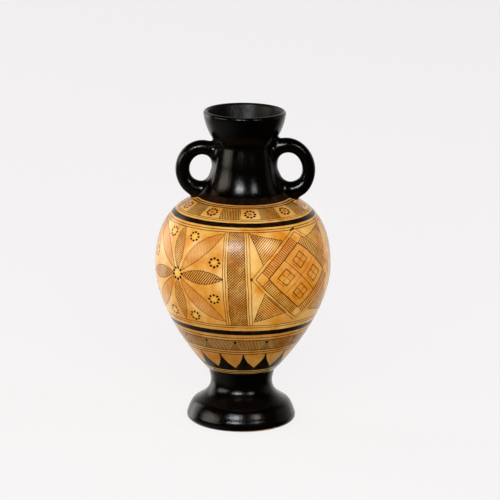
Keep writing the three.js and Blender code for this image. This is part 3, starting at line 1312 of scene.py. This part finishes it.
class AMPHORA_OT_pot(bpy.types.Operator):
    """Makes the painted pot: foot, belly, neck, cup and both ring handles, as one fired piece"""

    bl_idname = "amphora.pot"
    bl_label = "Painted pot"

    def execute(self, context):
        settings = context.scene.amphora_pot
        colours = pattern_colours(settings)
        glazes = {
            "black": black_glaze_material(settings),
            "lower": painted_material("painted_lower_belly", lower_belly_pattern, colours),
            "frieze": painted_material("painted_frieze", frieze_pattern, colours),
            "shoulder": painted_material("painted_shoulder", shoulder_pattern, colours),
            "bare": bare_clay_material(),
        }
        pot = turned_solid("amphora_pot", wall_section(), settings.turn_facets, glazes["black"])
        core = turned_solid("core", core_section(), settings.turn_facets // 2, glazes["black"])
        for name, handle in (("left_ring", LEFT_HANDLE), ("right_ring", RIGHT_HANDLE)):
            ring = ring_handle(name, handle, settings.ring_steps, settings.bar_facets, glazes["black"])
            cut_or_joined(ring, core, "DIFFERENCE")
            cut_or_joined(pot, ring, "UNION")
            bpy.data.objects.remove(ring)
        bpy.data.objects.remove(core)
        soften_joints(pot.data, settings.joint_width / MM)
        store_wall_places(pot.data)
        glaze_faces(pot.data, glazes)
        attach(pot, "root")
        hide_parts("amphora")
        return {"FINISHED"}


class AMPHORA_OT_stage(bpy.types.Operator):
    """Makes the stage: a plain pale floor, soft studio lights, the surroundings and the camera"""

    bl_idname = "amphora.stage"
    bl_label = "Stage"

    def execute(self, context):
        settings = context.scene.amphora_stage
        make_floor(settings)
        make_lights(settings)
        make_surroundings(context.scene, settings)
        make_camera(context.scene)
        return {"FINISHED"}


def make_floor(settings):
    """A large pale floor that barely darkens where the pot stands."""
    half = settings.floor_size / 2
    corners = [(-half, -half, 0), (half, -half, 0), (half, half, 0), (-half, half, 0)]
    mesh = bpy.data.meshes.new("floor")
    mesh.from_pydata(corners, [], [(0, 1, 2, 3)])
    material, tree, shader = new_material("pale_floor")
    fill_inputs(tree, shader, {
        "Base Color": (0.12, 0.115, 0.115, 1),
        "Roughness": 0.9,
        "Emission Color": (*settings.floor_colour, 1),
        "Emission Strength": 0.74,
        "Specular IOR Level": 0.0,
    })
    mesh.materials.append(material)
    floor = new_object("floor", mesh)
    floor.visible_glossy = False
    floor.visible_diffuse = False
    floor.visible_shadow = False
    return floor


# Area lights, all as far from the pot's middle: turn from the camera's side (rising to the right), elevation,
# width, height, strength, colour and kind. The glaze mirrors the windows and the panels, and panels are oval.
# The soft lights only light the clay
LIGHT_DISTANCE = 2.6
LIGHTS = {
    "window_left": (-14, 29, 0.9, 0.6, 40, (0.93, 0.96, 1.0), "WINDOW"),
    "window_right": (36, 28, 0.5, 0.55, 12, (0.96, 0.97, 1.0), "WINDOW"),
    "panel_left": (-72, 14, 2.0, 1.1, 22, (1.0, 0.91, 0.80), "PANEL"),
    "rim_left": (-126, 8, 1.4, 2.4, 14, (1.0, 0.96, 0.90), "PANEL"),
    "panel_right": (104, 8, 1.6, 2.0, 2.5, (1.0, 0.96, 0.92), "PANEL"),
    "soft_back_left": (-115, 5, 2.0, 2.0, 58, (1.0, 0.98, 0.96), "SOFT"),
    "soft_left": (-55, 8, 2.0, 2.0, 31, (1.0, 0.98, 0.96), "SOFT"),
    "soft_right": (75, 5, 2.0, 2.0, 46, (1.0, 0.97, 0.94), "SOFT"),
    "soft_front": (0, 25, 2.2, 2.0, 72, (1.0, 0.98, 0.96), "SOFT"),
}


def make_lights(settings):
    """The area lights, which stand round the pot and face it."""
    middle = Vector((0, 0, cad_size(2) / 2))
    for name, (turn, elevation, width, height, power, colour, kind) in LIGHTS.items():
        mirrored = kind != "SOFT"
        data = bpy.data.lights.new(name, "AREA")
        data.shape = "ELLIPSE" if kind == "PANEL" else "RECTANGLE"
        data.size = width
        data.size_y = height
        data.energy = power * (settings.mirrored_strength if mirrored else settings.soft_strength)
        data.color = colour
        light = new_object(name, data)
        light.visible_glossy = mirrored
        light.visible_diffuse = not mirrored
        turn, elevation = math.radians(turn), math.radians(elevation)
        towards = Vector((
            math.sin(turn) * math.cos(elevation), -math.cos(turn) * math.cos(elevation), math.sin(elevation),
        ))
        light.location = middle + towards * LIGHT_DISTANCE
        light.rotation_euler = towards.to_track_quat("Z", "Y").to_euler()


def make_surroundings(scene, settings):
    """A pale room: bright behind the pot, dark on the camera's side and overhead."""
    world = bpy.data.worlds.new("pale room")
    scene.world = world
    world.use_nodes = True
    tree = world.node_tree
    tree.nodes.clear()
    direction = add_node(tree, "ShaderNodeTexCoord").outputs["Generated"]
    sideways, depth, up = axis_terms(tree, direction)
    behind = depth.scaled(2.4, -0.8, clamp=True)
    level = up.scaled(-1.6, 1.35, clamp=True)
    table_left = sideways.scaled(-1.6, -0.3, clamp=True) * up.scaled(-2, 0, clamp=True)
    darkest = 0.004
    strength = behind * level * 0.9 + table_left * 0.4 + darkest
    room = add_node(tree, "ShaderNodeBackground", {"Color": (1.0, 0.97, 0.94, 1), "Strength": strength})
    pale = (*settings.floor_colour, 1)
    backdrop = add_node(tree, "ShaderNodeBackground", {"Color": pale, "Strength": settings.backdrop_strength})
    path = add_node(tree, "ShaderNodeLightPath")
    shown = add_node(tree, "ShaderNodeMixShader", {
        0: path.outputs["Is Camera Ray"], 1: room.outputs[0], 2: backdrop.outputs[0],
    })
    add_node(tree, "ShaderNodeOutputWorld", {"Surface": shown.outputs[0]})
    scene.view_settings.view_transform = "Standard"
    scene.view_settings.look = "Medium High Contrast"


def make_camera(scene):
    """The camera at the photograph's angle, rolled as the photograph is."""
    data = bpy.data.cameras.new("camera")
    data.lens = CAMERA_LENS
    camera = new_object("camera", data)
    across, height = CAMERA_TARGET
    place = Vector((
        across,
        -CAMERA_DISTANCE * math.cos(CAMERA_ELEVATION),
        height + CAMERA_DISTANCE * math.sin(CAMERA_ELEVATION),
    ))
    tilt = Matrix.Rotation(math.pi / 2 - CAMERA_ELEVATION, 4, "X")
    roll = Matrix.Rotation(CAMERA_ROLL, 4, "Z")
    camera.matrix_world = Matrix.Translation(place) @ tilt @ roll
    scene.camera = camera


class AMPHORA_PT_panel(bpy.types.Panel):
    """Lists the pot and the stage with their settings."""

    bl_label = "Painted amphora"
    bl_space_type = "VIEW_3D"
    bl_region_type = "UI"
    bl_category = "Amphora"

    def draw(self, context):
        """Draws a box for each operator, with its settings."""
        scene = context.scene
        listed = ((scene.amphora_pot, "amphora.pot"), (scene.amphora_stage, "amphora.stage"))
        for settings, operator in listed:
            box = self.layout.box()
            for name in type(settings).__annotations__:
                box.prop(settings, name)
            box.operator(operator)


CLASSES = (AmphoraPot, AmphoraStage, AMPHORA_OT_pot, AMPHORA_OT_stage, AMPHORA_PT_panel)


def register():
    """Registers the settings, operators and panel."""
    for each in CLASSES:
        bpy.utils.register_class(each)
    bpy.types.Scene.amphora_pot = bpy.props.PointerProperty(type=AmphoraPot)
    bpy.types.Scene.amphora_stage = bpy.props.PointerProperty(type=AmphoraStage)


def unregister():
    """Takes back what register adds."""
    del bpy.types.Scene.amphora_stage
    del bpy.types.Scene.amphora_pot
    for each in reversed(CLASSES):
        bpy.utils.unregister_class(each)


def main():
    """Makes the pot and the stage."""
    register()
    bpy.ops.amphora.pot()
    bpy.ops.amphora.stage()


if __name__ == "__main__":
    main()
